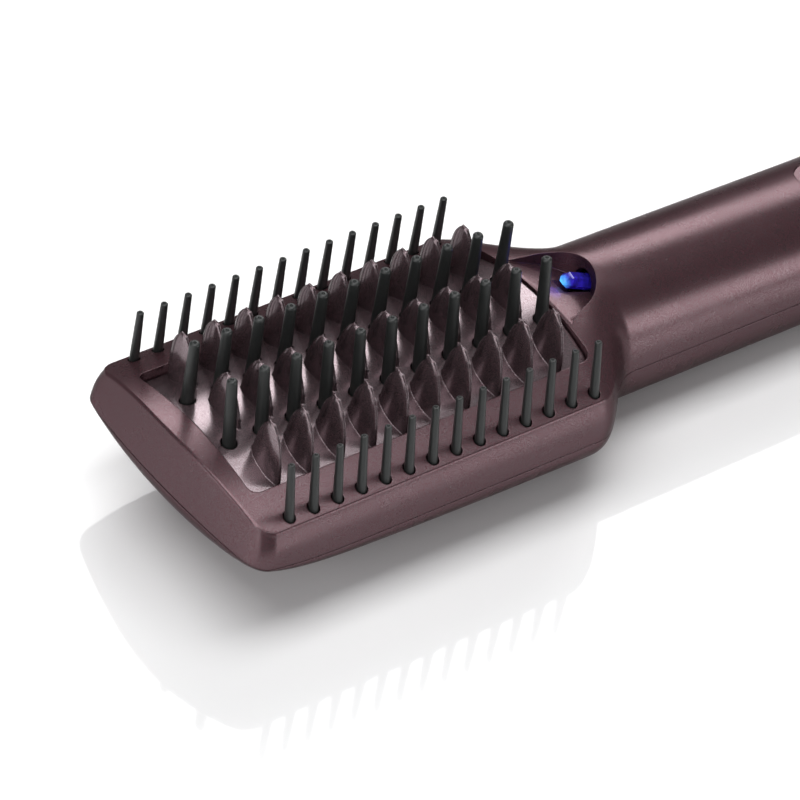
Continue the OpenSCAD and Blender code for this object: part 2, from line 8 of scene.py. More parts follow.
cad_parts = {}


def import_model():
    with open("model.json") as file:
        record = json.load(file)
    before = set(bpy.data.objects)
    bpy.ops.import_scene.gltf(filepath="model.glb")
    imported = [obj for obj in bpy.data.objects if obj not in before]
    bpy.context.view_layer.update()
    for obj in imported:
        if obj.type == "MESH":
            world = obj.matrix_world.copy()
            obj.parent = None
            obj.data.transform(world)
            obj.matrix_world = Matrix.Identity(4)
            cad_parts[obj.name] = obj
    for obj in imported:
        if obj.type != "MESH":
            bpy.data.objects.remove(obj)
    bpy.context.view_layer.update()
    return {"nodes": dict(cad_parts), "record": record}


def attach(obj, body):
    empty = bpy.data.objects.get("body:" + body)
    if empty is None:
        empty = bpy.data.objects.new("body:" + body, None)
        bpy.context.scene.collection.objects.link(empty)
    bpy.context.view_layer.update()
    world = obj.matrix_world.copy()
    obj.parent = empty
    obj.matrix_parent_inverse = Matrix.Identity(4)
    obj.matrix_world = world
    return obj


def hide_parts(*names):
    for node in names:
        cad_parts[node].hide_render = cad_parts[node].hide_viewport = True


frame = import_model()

NODES = frame["nodes"]
# lengths below are in mm, with x = 0 at the first side bristle and z = 0 at the parting plane
MX, MZ = -146.95, 20.25              # shift from there to the shared frame

# camera
CAM_BACK = (-0.494, -0.583, 0.645)   # from the object to the camera
CAM_AZ, CAM_ROLL = -40.30, 6.96      # degrees
CAM_PLACE = (-0.72253, -0.74664, 0.84687)
FOCAL_PX = 5200.4                    # focal length in pixels of an 800 x 800 picture
CAM_SHIFT = (0.0020, -0.00175)       # shift of the picture, as a share of its width


def camera():
    az, roll = math.radians(CAM_AZ), math.radians(CAM_ROLL)
    back = Vector(CAM_BACK).normalized()
    right = Vector((math.cos(az), math.sin(az), 0.0))
    right = (right - back * right.dot(back)).normalized()
    up = back.cross(right)
    r = right * math.cos(roll) + up * math.sin(roll)
    u = up * math.cos(roll) - right * math.sin(roll)
    data = bpy.data.cameras.new("camera")
    cam = bpy.data.objects.new("camera", data)
    bpy.context.collection.objects.link(cam)
    m = Matrix((r, u, back)).transposed().to_4x4()
    m.translation = Vector(CAM_PLACE)
    cam.matrix_world = m
    data.sensor_width = 36.0
    data.lens = FOCAL_PX / 800 * 36.0
    data.clip_start = 0.05
    data.clip_end = 20
    data.shift_x, data.shift_y = CAM_SHIFT
    bpy.context.scene.camera = cam


camera()

# materials
def new_mat(name):
    m = bpy.data.materials.new(name)
    m.use_nodes = True
    nt = m.node_tree
    return m, nt.nodes, nt.links, nt.nodes["Principled BSDF"]


def noise(nodes, links, scale, detail=3.0, rough=0.5):
    t = nodes.new("ShaderNodeTexCoord")
    n = nodes.new("ShaderNodeTexNoise")
    n.inputs["Scale"].default_value = scale
    n.inputs["Detail"].default_value = detail
    n.inputs["Roughness"].default_value = rough
    links.new(t.outputs["Object"], n.inputs["Vector"])
    return n


def ramp(nodes, links, src, lo, hi, a, b):
    r = nodes.new("ShaderNodeMapRange")
    r.inputs["From Min"].default_value = lo
    r.inputs["From Max"].default_value = hi
    r.inputs["To Min"].default_value = a
    r.inputs["To Max"].default_value = b
    links.new(src, r.inputs["Value"])
    return r.outputs["Result"]


def mix(nodes, links, fac, a, b):
    m = nodes.new("ShaderNodeMix")
    m.data_type = "RGBA"
    links.new(fac, m.inputs["Factor"])
    m.inputs["A"].default_value = (*a, 1)
    m.inputs["B"].default_value = (*b, 1)
    return m.outputs["Result"]


def bump(nodes, links, bsdf, height, strength, dist):
    b = nodes.new("ShaderNodeBump")
    b.inputs["Strength"].default_value = strength
    b.inputs["Distance"].default_value = dist
    links.new(height, b.inputs["Height"])
    links.new(b.outputs["Normal"], bsdf.inputs["Normal"])


def metallic_paint(name, binder, flake, share, rough, coat):
    """Moulded plastic under metallic paint: fine pale flakes in a tinted binder."""
    m, nodes, links, bsdf = new_mat(name)
    grain = noise(nodes, links, 8000, 1.0, 0.5)
    cloud = noise(nodes, links, 60, 4.0, 0.6)
    fac = ramp(nodes, links, grain.outputs["Fac"], 0.54 - share * 0.4, 0.88 - share * 0.4, 0.0, 1.0)
    links.new(mix(nodes, links, fac, binder, flake), bsdf.inputs["Base Color"])
    links.new(ramp(nodes, links, fac, 0.0, 1.0, 0.15, 1.0), bsdf.inputs["Metallic"])
    links.new(ramp(nodes, links, cloud.outputs["Fac"], 0.3, 0.7, rough - 0.03, rough + 0.03),
              bsdf.inputs["Roughness"])
    bsdf.inputs["Coat Weight"].default_value = coat
    bsdf.inputs["Coat Roughness"].default_value = 0.15
    bsdf.inputs["Specular Tint"].default_value = (0.22, 0.20, 0.20, 1)
    bev = nodes.new("ShaderNodeBevel")
    bev.samples = 6
    bev.inputs["Radius"].default_value = 0.00035
    links.new(bev.outputs["Normal"], bsdf.inputs["Normal"])
    return m


def plastic(name, dark, light, rough, scale=900, strength=0.12, spec=0.5, metal=0.0):
    m, nodes, links, bsdf = new_mat(name)
    n = noise(nodes, links, scale, 3.0, 0.6)
    big = noise(nodes, links, scale / 12, 3.0, 0.5)
    links.new(mix(nodes, links, big.outputs["Fac"], dark, light), bsdf.inputs["Base Color"])
    links.new(ramp(nodes, links, n.outputs["Fac"], 0.3, 0.7, rough - 0.05, rough + 0.05),
              bsdf.inputs["Roughness"])
    bsdf.inputs["Specular IOR Level"].default_value = spec
    bsdf.inputs["Metallic"].default_value = metal
    bump(nodes, links, bsdf, n.outputs["Fac"], strength, 0.0001)
    return m


HOUSING = metallic_paint("housing_paint", (0.096, 0.013, 0.025), (0.130, 0.109, 0.115),
                         0.62, 0.27, 0.0)
PLATE = metallic_paint("plate_coating", (0.120, 0.035, 0.050), (0.235, 0.205, 0.216),
                       0.72, 0.20, 0.20)
BRISTLE = plastic("bristle_nylon", (0.012, 0.014, 0.0135), (0.019, 0.021, 0.0205), 0.42, 2600, 0.10)
BLACK = plastic("black_plastic", (0.012, 0.012, 0.013), (0.022, 0.022, 0.024), 0.5)
CONTROL = plastic("control_plastic", (0.020, 0.014, 0.016), (0.034, 0.026, 0.028), 0.42, 1800, 0.15)
MICA = plastic("mica_sheet", (0.46, 0.40, 0.30), (0.60, 0.54, 0.42), 0.55, 500, 0.25)
STEEL = plastic("steel", (0.50, 0.51, 0.53), (0.66, 0.67, 0.69), 0.32, 1500, 0.08, 0.5, 1.0)
WIRE = plastic("heating_wire", (0.36, 0.33, 0.31), (0.52, 0.49, 0.46), 0.40, 1500, 0.08, 0.5, 1.0)
CERAMIC = plastic("white_ceramic", (0.72, 0.72, 0.68), (0.82, 0.82, 0.78), 0.30, 600, 0.05)
RUBBER = plastic("rubber", (0.014, 0.014, 0.014), (0.026, 0.026, 0.026), 0.75, 1200, 0.30)
BOARD = plastic("board_lacquer", (0.012, 0.090, 0.045), (0.020, 0.130, 0.065), 0.35, 900, 0.10)
WIRES = plastic("wire_insulation", (0.30, 0.02, 0.015), (0.42, 0.04, 0.03), 0.45, 900, 0.05)


def glow_mat():
    """Blue crystal: brightest at its front tip, violet further back, mottled inside."""
    m, nodes, links, bsdf = new_mat("emitter_crystal")
    t = nodes.new("ShaderNodeTexCoord")
    sep = nodes.new("ShaderNodeSeparateXYZ")
    links.new(t.outputs["Object"], sep.inputs[0])
    x0 = (EMIT[0] + MX) / 1000
    near = ramp(nodes, links, sep.outputs["X"], x0 - 0.0004, x0 + 0.0015, 1.0, 0.0)
    far = ramp(nodes, links, sep.outputs["X"], x0 + 0.001, x0 + 0.009, 1.0, 0.0)
    n = noise(nodes, links, 700, 3.0, 0.6)
    col = mix(nodes, links, near, (0.030, 0.012, 0.62), (0.10, 0.55, 1.0))
    links.new(col, bsdf.inputs["Emission Color"])
    both = nodes.new("ShaderNodeMath")
    both.operation = "ADD"
    links.new(near, both.inputs[0])
    links.new(ramp(nodes, links, n.outputs["Fac"], 0.38, 0.62, 0.05, 0.55), both.inputs[1])
    faded = nodes.new("ShaderNodeMath")
    faded.operation = "MULTIPLY"
    links.new(both.outputs[0], faded.inputs[0])
    links.new(ramp(nodes, links, far, 0.0, 1.0, 0.25, 1.0), faded.inputs[1])
    links.new(faded.outputs[0], bsdf.inputs["Emission Strength"])
    links.new(mix(nodes, links, n.outputs["Fac"], (0.008, 0.006, 0.10), (0.035, 0.030, 0.34)),
              bsdf.inputs["Base Color"])
    bsdf.inputs["Roughness"].default_value = 0.10
    bsdf.inputs["Coat Weight"].default_value = 0.6
    bump(nodes, links, bsdf, n.outputs["Fac"], 0.15, 0.0002)
    return m


EMIT = (105.5, 0, 19.05)             # tip of the emitter's crystal
GLOW = glow_mat()

MATS = {
    "housing": HOUSING, "air_plate": PLATE, "bristle": BRISTLE, "light": GLOW,
    "black_plastic": BLACK, "control": CONTROL, "mica": MICA, "wire": WIRE, "steel": STEEL,
    "ceramic_white": CERAMIC, "rubber": RUBBER, "board": BOARD, "insulation": WIRES}
slots = {s["node"]: s["material_slot"] for s in frame["record"]["subparts"]}
for name, ob in NODES.items():
    mat = MATS[slots[name]]
    if not ob.material_slots:
        ob.data.materials.append(mat)
    for s in ob.material_slots:
        s.material = mat

# forms: the rules of the solids with finer steps; a value that differs from theirs says so
FACE_CREST, FACE_R = 19.2, 88.0      # top and radius of the crowned bristle face
HALF_W, FACE_W = 37.3, 35.85         # half width at the parting line and at the face's edge
BELLY, CORNER = 18.0, 5.2            # depth of the back, and plan radius of the tip's corners
TIP, HR, WALL = -14.05, 20.25, 2.2   # tip end, handle radius, wall thickness
NX0, NLEN = 91.5, 23.5               # start and length of the neck
SWELL, SWELL_END = 0.1, 190.0        # share by which the handle's top swells, and where it ends
TIP_RISE = 4.0                       # rise of the parting line at the tip
FULL = 2.2                           # fullness of the belly towards the tip (solids: 2)
PLATE_CREST, PLATE_R = 18.85, 52.0   # top and radius of the crowned air plate
PLATE_T = 1.8                        # its thickness
WIN = (-5.2, 96.6, 24.9)             # opening for the air plate: two ends and the half width
WIN_TIP_R, WIN_NECK_R = 2.6, 3.5     # radius of its corners at the tip (solids: 1.2) and the neck
SHELL_END = 289.95                   # end of the shells
SEAM = 0.24                          # gap between the shells (solids: 0.12)
NW, NE, NF, NB = 12, 6, 30, 24       # points up the wall, round the edge, over the face, belly
EDGE = 0.75                          # rounding of the face's edge
DOME = 34.0                          # angle on the handle where the face's edge ends (solids: 48)
# hollow of the emitter
RISE_R = 84.0                        # camber of its floor
RISE_TILT = 18.3                     # slope of its floor in degrees (solids: 14.4)
RISE_PIVOT = (99.0, 19.15)           # x and z where its floor starts (solids: 96.6, 19.1)
RISE_FLANK = ((WIN[1] - 2, 17.2), (99.1, 13.1))      # x and y of its flank's two ends
RISE_MID, RISE_LONG, RISE_WIDE = 100, 12.9, 11.9     # its round end: centre, length, half width
EMIT_TILT = 25.5                     # slope of the crystal's axis in degrees
EMIT_D = (math.sin(math.radians(90 + EMIT_TILT)), 0, math.cos(math.radians(90 + EMIT_TILT)))
EMIT_BORE = 3.3                      # radius of the bore round the crystal (solids: 2.7)
# rows on the head
SIDE_N, SIDE_PITCH = 14, 7.0         # bristles in an outer row
SIDE_Y, SIDE_LEAN = 33.1, 4.2        # distance of that row from the middle, lean in degrees
CENTRE_N, FIN_N = 11, 10             # bristles in an inner row, fins in a row
PITCH = 28 / 3                       # of the inner bristles and of the fins
CENTRE_X, FIN_X = -1.13, 2.9         # first inner bristle, first fin
CENTRE_Y, CENTRE_LEAN = 8.85, 3.05   # distance of an inner row from the middle, lean in degrees
SIDE_HOLE, CENTRE_HOLE = 1.6, 2.1    # radii of the bristles' holes
# handle
PANEL, PANEL_Z = (182, 234, 7.1), 18.9      # flat of the control panel: ends, half width; level
COOL_X, COOL_R = 192, 4.6            # bore of the cool-shot button
SLIDE = (209.6, 223.4, 1.9)          # slot of the mode slider: two ends and the half width
SCREWS = ((8, 26), (8, -26), (84, 26), (84, -26), (183, 0))
WELL_R = 2.9                         # radius of the screws' wells
# tools that cut or shape the head
ABOVE = 26                           # a level above the whole head
SPAN = (-9, 101)                     # ends of the round tools that crown the plate and its rim


def face_z(y):
    return FACE_CREST - FACE_R + math.sqrt(FACE_R ** 2 - y * y)


def plate_z(y):
    return PLATE_CREST - PLATE_R + math.sqrt(PLATE_R ** 2 - y * y)


def neck(x):
    """Share of the way from the paddle (0) to the round handle (1)."""
    if x <= NX0:
        return 0.0
    if x >= NX0 + NLEN:
        return 1.0
    return (1 - math.cos(math.pi * (x - NX0) / NLEN)) / 2


def swelling(x):
    return max(0.0, min(1.0, (SWELL_END - x) / (SWELL_END - NX0 - NLEN)))


def part_z(x):
    return TIP_RISE * max(0.0, 1 - max(0.0, x - TIP) / 40) ** 3


def corner(d, r):
    """How far a corner of radius r stands back at distance d from its end."""
    g = r - min(r, max(0.0, d))
    return r - math.sqrt(r * r - g * g)


def half_w(x, e):
    k = neck(x)
    return (1 - k) * (HALF_W - corner(x - TIP - e, CORNER - e / 2)) + k * HR - e


def belly(x, e):
    if x >= NX0:
        return BELLY + (HR - BELLY) * neck(x) - e
    k = min(1.0, (NX0 - x) / (NX0 - TIP - e))
    return (BELLY + part_z(x) - 0.1 - e) * max(0.0, 1 - max(0.0, k) ** FULL) ** (1 / FULL) + 0.1


def upper(x, e):
    """Points (y, z) of a section from the parting line to the crest."""
    w = half_w(min(x, NX0), e)
    t = w - HALF_W + FACE_W
    drop = corner(x - TIP - e, 0.8) + e
    z0 = part_z(x)
    zs = face_z(t + e) - drop - EDGE * 0.8
    pts = []
    for i in range(NW + 1):
        v = i / NW
        pts.append((w + 0.5 * math.sin(math.pi * v) - (w - t) * v ** 1.6, z0 + (zs - z0) * v))
    y1, z1 = t - EDGE, face_z(t + e - EDGE) - drop
    for i in range(1, NE + 1):
        a = math.pi / 2 * i / NE
        pts.append((y1 + (t - y1) * math.sin(math.pi / 2 - a), zs + (z1 - zs) * math.sin(a)))
    for i in range(1, NF + 1):
        y = y1 * math.cos(math.pi / 2 * (i / NF) ** 0.8)
        pts.append((y, face_z(y) - drop))
    k = neck(x)
    if k > 0:
        n = NW + NE
        r, up = HR - e, 1 + (SWELL * swelling(x) if e < 0.5 else 0)
        for i in range(len(pts)):
            a = math.radians(DOME * i / n if i <= n else DOME + (90 - DOME) * ((i - n) / NF) ** 0.9)
            pts[i] = ((1 - k) * pts[i][0] + k * r * math.cos(a),
                      (1 - k) * pts[i][1] + k * r * up * math.sin(a))
    return pts


def bow(x, y, z):
    """Curve of the tip end in plan and in height, which fades out along the head."""
    t = min(1.0, max(0.0, (z - part_z(x)) / (FACE_CREST - 1.2 - part_z(x))))
    return x + max(0.0, 1 - (x - TIP) / 24) * (1.85 * t + y * y * ((1 - t) / 550 + t / 230))


def ring(x, e):
    """The whole section at x, e inside the outer surface."""
    up = upper(x, e)
    w, z0 = half_w(x, e), part_z(x)
    d = belly(x, e) * (1 - (0.3 * SWELL * neck(x) * swelling(x) if e < 0.5 else 0))
    lo = [(w * math.cos(math.pi / 2 * i / NB), z0 - d * math.sin(math.pi / 2 * i / NB))
          for i in range(1, NB + 1)]
    pts = up + [(-y, z) for y, z in up[-2::-1]] + [(-y, z) for y, z in lo] + lo[-2::-1]
    return [(x, y, z) for y, z in pts]


def stations(e, end):
    xs = [TIP + e + CORNER * (1 - math.cos(math.radians(a))) for a in range(0, 91, 5)]
    x0 = xs[-1]
    xs += [x0 + (NX0 - x0) * k / 26 for k in range(1, 27)]
    xs += [NX0 + NLEN * k / 36 for k in range(1, 37)]
    xs += [NX0 + NLEN + (SWELL_END - NX0 - NLEN) * k / 12 for k in range(1, 13)]
    return xs + [240.0, end]


def mesh_from(name, verts, faces):
    me = bpy.data.meshes.new(name)
    me.from_pydata([((x + MX) / 1000, y / 1000, (z + MZ) / 1000) for x, y, z in verts], [], faces)
    me.update()
    ob = bpy.data.objects.new(name, me)
    bpy.context.collection.objects.link(ob)
    return ob


def loft(name, rings):
    """Closed solid through rings of equal, even count; the ends are capped by strips."""
    m = len(rings[0])
    verts = [p for r in rings for p in r]
    faces = []
    for s in range(len(rings) - 1):
        for j in range(m):
            a, b = s * m + j, s * m + (j + 1) % m
            faces.append((a, b, b + m, a + m))
    last = (len(rings) - 1) * m
    for base, flip in ((0, False), (last, True)):
        for j in range(m // 2):
            if j == 0:
                f = (0, 1, m - 1)
            elif j == m // 2 - 1:
                f = (j, j + 1, m - j)
            else:
                f = (j, j + 1, m - j - 1, m - j)
            f = tuple(base + i for i in f)
            faces.append(f if flip else f[::-1])
    return mesh_from(name, verts, faces)


def circle(r, n, a0=0.0):
    turns = [a0 + 2 * math.pi * i / n for i in range(n)]
    return [(r * math.cos(a), r * math.sin(a)) for a in turns]


def cyl_x(name, x0, x1, r, y=0.0, z=0.0, n=160):
    return loft(name, [[(x, y + p, z + q) for p, q in circle(r, n)] for x in (x0, x1)])


def axis_frame(base, d):
    d = Vector(d).normalized()
    u = Vector((1, 0, 0)) if abs(d.x) < 0.9 else Vector((0, 1, 0))
    u = (u - d * u.dot(d)).normalized()
    return Vector(base), u, d.cross(u), d


def turned(name, base, d, profile, n=32, a0=0.0):
    """Solid of revolution about an axis: profile is a list of (radius, height)."""
    o, u, w, d = axis_frame(base, d)
    rings = [[tuple(o + d * h + u * p + w * q) for p, q in circle(r, n, a0)] for r, h in profile]
    return loft(name, rings)


def prism(name, outline, z0, z1):
    """Upright solid over a closed plan outline, counter-clockwise seen from above."""
    n = len(outline)
    verts = [(x, y, z0) for x, y in outline] + [(x, y, z1) for x, y in outline]
    faces = [tuple(range(n))[::-1], tuple(range(n, 2 * n))]
    faces += [(i, (i + 1) % n, n + (i + 1) % n, n + i) for i in range(n)]
    return mesh_from(name, verts, faces)


def rounded(x0, x1, w, r0, r1=None, n=10):
    """Rectangle with corner radius r0 at its low X end and r1 at the other."""
    r1 = r0 if r1 is None else r1
    out = []
    for cx, cy, a0, r in ((x1 - r1, w - r1, 0, r1), (x0 + r0, w - r0, 90, r0),
                          (x0 + r0, -w + r0, 180, r0), (x1 - r1, -w + r1, 270, r1)):
        for i in range(n + 1):
            a = math.radians(a0 + 90 * i / n)
            out.append((cx + r * math.cos(a), cy + r * math.sin(a)))
    return out


def window(d):
    """Plan of the air plate's opening, d outside its edge."""
    return rounded(WIN[0] - d, WIN[1] + d, WIN[2] + d, max(0.4, WIN_TIP_R + d), WIN_NECK_R + d)


def slab(name, z0, z1, x1):
    """Everything across the brush between two heights over the parting line."""
    xs = [TIP - 3] + [TIP + 44 * k / 44 for k in range(45)] + [x1]
    return loft(name, [[(x, 55, part_z(x) + z0), (x, 55, part_z(x) + z1),
                        (x, -55, part_z(x) + z1), (x, -55, part_z(x) + z0)] for x in xs])


def drop(ob):
    me = ob.data
    bpy.data.objects.remove(ob)
    if me.users == 0:
        bpy.data.meshes.remove(me)


def boolean(ob, other, op):
    """Cut, join or clip ob with other, which is used up."""
    mod = ob.modifiers.new("b", "BOOLEAN")
    mod.operation = op
    mod.solver = "MANIFOLD"
    mod.object = other
    me = bpy.data.meshes.new_from_object(ob.evaluated_get(bpy.context.evaluated_depsgraph_get()))
    ob.modifiers.clear()
    old = ob.data
    ob.data = me
    bpy.data.meshes.remove(old)
    drop(other)
    return ob


def copy(ob, name):
    new = ob.copy()
    new.data = ob.data.copy()
    new.name = name
    bpy.context.collection.objects.link(new)
    return new


def join(name, parts):
    verts, faces = [], []
    for p in parts:
        off = len(verts)
        v = np.empty(len(p.data.vertices) * 3)
        p.data.vertices.foreach_get("co", v)
        verts += [tuple(c) for c in v.reshape(-1, 3)]
        faces += [tuple(off + i for i in f.vertices) for f in p.data.polygons]
        drop(p)
    me = bpy.data.meshes.new(name)
    me.from_pydata(verts, [], faces)
    me.update()
    ob = bpy.data.objects.new(name, me)
    bpy.context.collection.objects.link(ob)
    return ob


def dress(ob, mat, body, nodes=(), angle=32):
    """Finish a piece: its material and shading, its body and the nodes that it replaces."""
    ob.data.materials.clear()
    ob.data.materials.append(mat)
    ob.data.shade_smooth()
    ob.data.set_sharp_from_angle(angle=math.radians(angle))
    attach(ob, body)
    if nodes:
        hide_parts(*nodes)
    return ob


# housing
def form(name, e, end=SHELL_END):
    """The whole outline, e inside the outer surface; its tip face follows the tip's bow."""
    ob = loft(name, [ring(x, e) for x in stations(e, end)])
    bm = bmesh.new()
    bm.from_mesh(ob.data)
    tip = (TIP + e + 0.02 + MX) / 1000
    for k in range(-16, 17):
        faces = [f for f in bm.faces if all(v.co.x < tip for v in f.verts)]
        edges = {d for f in faces for d in f.edges}
        verts = {v for f in faces for v in f.verts}
        bmesh.ops.bisect_plane(bm, geom=faces + list(edges) + list(verts), dist=1e-7,
                               plane_co=(0, k * 0.0021, 0), plane_no=(0, 1, 0))
    for v in bm.verts:
        v.co.x = (bow(v.co.x * 1000 - MX, v.co.y * 1000, v.co.z * 1000 - MZ) + MX) / 1000
    bm.to_mesh(ob.data)
    bm.free()
    return ob


def rise_plan(d):
    """Plan of the emitter's hollow, d outside its edge: two flanks and a round end."""
    (xa, ya), (xb, yb) = RISE_FLANK
    pts = [(xa, -ya - d), (xb + d / 2, -yb - d)]
    pts += [(RISE_MID + (RISE_LONG + d) * math.cos(math.radians(a)),
             (RISE_WIDE + d) * math.sin(math.radians(a))) for a in range(-75, 76, 3)]
    return pts + [(xb + d / 2, yb + d), (xa, ya + d)]


def rise_floor(e):
    """Cambered cylinder that slopes down from the window towards the neck."""
    c, s = math.cos(math.radians(RISE_TILT)), math.sin(math.radians(RISE_TILT))
    x0, z0 = RISE_PIVOT
    rings = []
    for x in (-20, 40):
        pts = [(p, q - RISE_R) for p, q in circle(RISE_R - e, 400)]
        rings.append([(x0 + x * c + z * s, y, z0 - x * s + z * c) for y, z in pts])
    return loft("rise_floor", rings)


def side_axis(i, s):
    """Foot and direction of bristle i of an outer row; s is the side."""
    a = math.radians(SIDE_LEAN)
    return (SIDE_PITCH * i, s * SIDE_Y, face_z(SIDE_Y)), (0, -s * math.sin(a), math.cos(a))


def centre_axis(i, s):
    """The same for an inner row."""
    a = math.radians(CENTRE_LEAN)
    base = (CENTRE_X + PITCH * i, s * CENTRE_Y, plate_z(CENTRE_Y))
    return base, (0, -s * math.sin(a), math.cos(a))


def shells():
    hollow = form("hollow", WALL, SHELL_END + 2)
    front = boolean(form("front_shell_smooth", 0), hollow, "DIFFERENCE")
    back = copy(front, "back_shell_smooth")
    # strip behind the seam, which closes it to the inside
    lap, inner = form("seam_lap", 0.55, SHELL_END - 9), form("h", 1.7, SHELL_END - 5)
    boolean(lap, inner, "DIFFERENCE")
    boolean(lap, slab("p", -1.8, 1.5, 330), "INTERSECT")
    boolean(front, slab("p", SEAM / 2, 60, 330), "INTERSECT")
    boolean(back, slab("p", -60, -SEAM / 2, 330), "INTERSECT")
    # rim round the air plate, the ledge below it and the pad of the emitter's hollow
    rim = prism("rim", window(1.6), 9, 18)
    boolean(rim, cyl_x("c", *SPAN, FACE_R - 0.7, 0, FACE_CREST - FACE_R, 720), "INTERSECT")
    boolean(front, rim, "UNION")
    pad = boolean(prism("pad", rise_plan(1.8), 8, 19), form("f", 0.7), "INTERSECT")
    boolean(pad, rise_floor(1.9), "DIFFERENCE")
    boolean(front, pad, "UNION")
    hollow = boolean(prism("cut", rise_plan(0), 8, ABOVE), rise_floor(0), "DIFFERENCE")
    boolean(front, hollow, "DIFFERENCE")
    boolean(front, prism("w", window(0), 5, ABOVE), "DIFFERENCE")
    under = cyl_x("c", *SPAN, PLATE_R - PLATE_T - 0.1, 0, PLATE_CREST - PLATE_R, 360)
    ledge = boolean(prism("ledge", window(0.4), 9, 20), under, "INTERSECT")
    boolean(ledge, prism("l", window(-1.5), 5, ABOVE), "DIFFERENCE")
    boolean(front, ledge, "UNION")
    bore = turned("g", EMIT, EMIT_D, [(EMIT_BORE, -0.4), (EMIT_BORE, 16)], 48)
    boolean(front, bore, "DIFFERENCE")
    cuts = [turned("hole", *side_axis(i, s), [(SIDE_HOLE, -6), (SIDE_HOLE, 3)])
            for s in (-1, 1) for i in range(SIDE_N)]
    boolean(front, join("holes", cuts), "DIFFERENCE")
    # control panel: a flat with the button's bore and the slider's slot
    boolean(front, prism("flat", rounded(*PANEL, 7.05, n=24), PANEL_Z, ABOVE), "DIFFERENCE")
    bore = turned("b", (COOL_X, 0, 10), (0, 0, 1), [(COOL_R, 0), (COOL_R, 14)], 64)
    boolean(front, bore, "DIFFERENCE")
    boolean(front, prism("s", rounded(*SLIDE, 1.8), 10, ABOVE), "DIFFERENCE")
    for x, y in SCREWS:
        well = turned("b", (x, y, -30), (0, 0, 1), [(WELL_R, 0), (WELL_R, 27)], 48)
        boolean(back, well, "DIFFERENCE")
    dress(front, HOUSING, "handset", ("front_shell",), 30)
    dress(back, HOUSING, "handset", ("back_shell",), 30)
    dress(lap, BLACK, "handset", (), 30)


# air plate
# outline of a fin: height, inner and outer side
SIDE_FIN = ((16.2, 11.5, 23.6), (17.4, 11.9, 23.6), (18.6, 12.45, 23.65), (20, 12.75, 23.6),
            (22, 13.35, 23.4), (24, 13.95, 23.05), (26, 14.8, 22.45), (27.6, 15.75, 21.6),
            (28.8, 16.75, 20.55), (29.8, 17.45, 19.7))
MID_FIN = ((17.6, -6.9, 6.9), (18.4, -6.65, 6.65), (19.4, -6.4, 6.4), (21, -6.05, 6.05),
           (23, -5.4, 5.4), (25, -4.6, 4.6), (27, -3.65, 3.65), (28.6, -2.75, 2.75),
           (29.9, -1.85, 1.85), (30.9, -1.0, 1.0))
RIDGE, DEPTH = 0.50, 1.60            # place of a fin's ridge and the swell of its front
FIN_UP, FIN_ACROSS = 40, 24          # steps of a fin's mesh
SLOT_LAG, SLOT_W = 1.1, 1.5          # an air slot's distance behind its fin, and its width
# its ends across the plate (solids: 6.2, and 12.6 to 25.5, from the middle)
SLOTS = ((-4.6, 4.6), (13.4, 20.6), (-20.6, -13.4))


def smooth_table(rows, t):
    """Catmull-Rom curve through the rows, at t in 0 to 1."""
    n = len(rows) - 1
    u = min(n - 1e-6, t * n)
    i = int(u)
    f = u - i
    rows4 = [rows[max(0, min(n, i + k))] for k in (-1, 0, 1, 2)]
    out = []
    for a, b, c, d in zip(*rows4):
        second = (2 * a - 5 * b + 4 * c - d) * f * f
        third = (3 * b - a - 3 * c + d) * f ** 3
        out.append(0.5 * (2 * b + (c - a) * f + second + third))
    return out


def foot(y, z, rows):
    """Height z of a fin's outline, drawn down so that its foot follows the plate."""
    z0, z1 = rows[0][0], rows[-1][0]
    return z1 - (z1 - z) * (z1 - plate_z(y) + 0.9) / (z1 - z0)


def fin_mesh(x, rows, s):
    """A fin: its front swells forward from the ridge that follows its outline; behind the
    ridge a fine groove and a thin back web follow the same line."""
    rings = []
    for k in range(FIN_UP + 1):
        z, a, b = smooth_table(rows, k / FIN_UP)
        h = (z - rows[0][0]) / (rows[-1][0] - rows[0][0])
        close = math.sqrt(max(0.0, 1 - max(0.0, (h - 0.93) / 0.0705) ** 2))
        c, w = (a + b) / 2, (b - a) / 2 * close
        depth = DEPTH * max(0.0, 1 - max(0.0, h) ** 2.4) ** 0.6
        row = []
        for i in range(FIN_ACROSS + 1):
            v = math.sin(math.pi / 2 * (-1 + 2 * i / FIN_ACROSS))
            row.append((RIDGE - depth * (1 - abs(v) ** 2.4), c + w * v, 0.0))
        low = -0.30 * max(0.0, (k - 24) / 16) ** 2
        cut, rim = min(0.30, w * 0.25), min(0.05, w * 0.05)
        web = [(0.04, cut, low), (0.22, cut, low), (0.26, rim, low / 4), (0.52, rim, low / 4),
               (0.60, cut, low / 2)]
        back = [(RIDGE + p, b - q, r) for p, q, r in web]
        far = [(p, a + b - q, r) for p, q, r in back[::-1]]
        pts = row + back + [(RIDGE + 0.60, c, low / 2)] + far
        section = [(x + p, s * q, foot(q, z, rows) + r) for p, q, r in pts]
        rings.append(section if s < 0 else section[::-1])
    return loft("fin", rings)


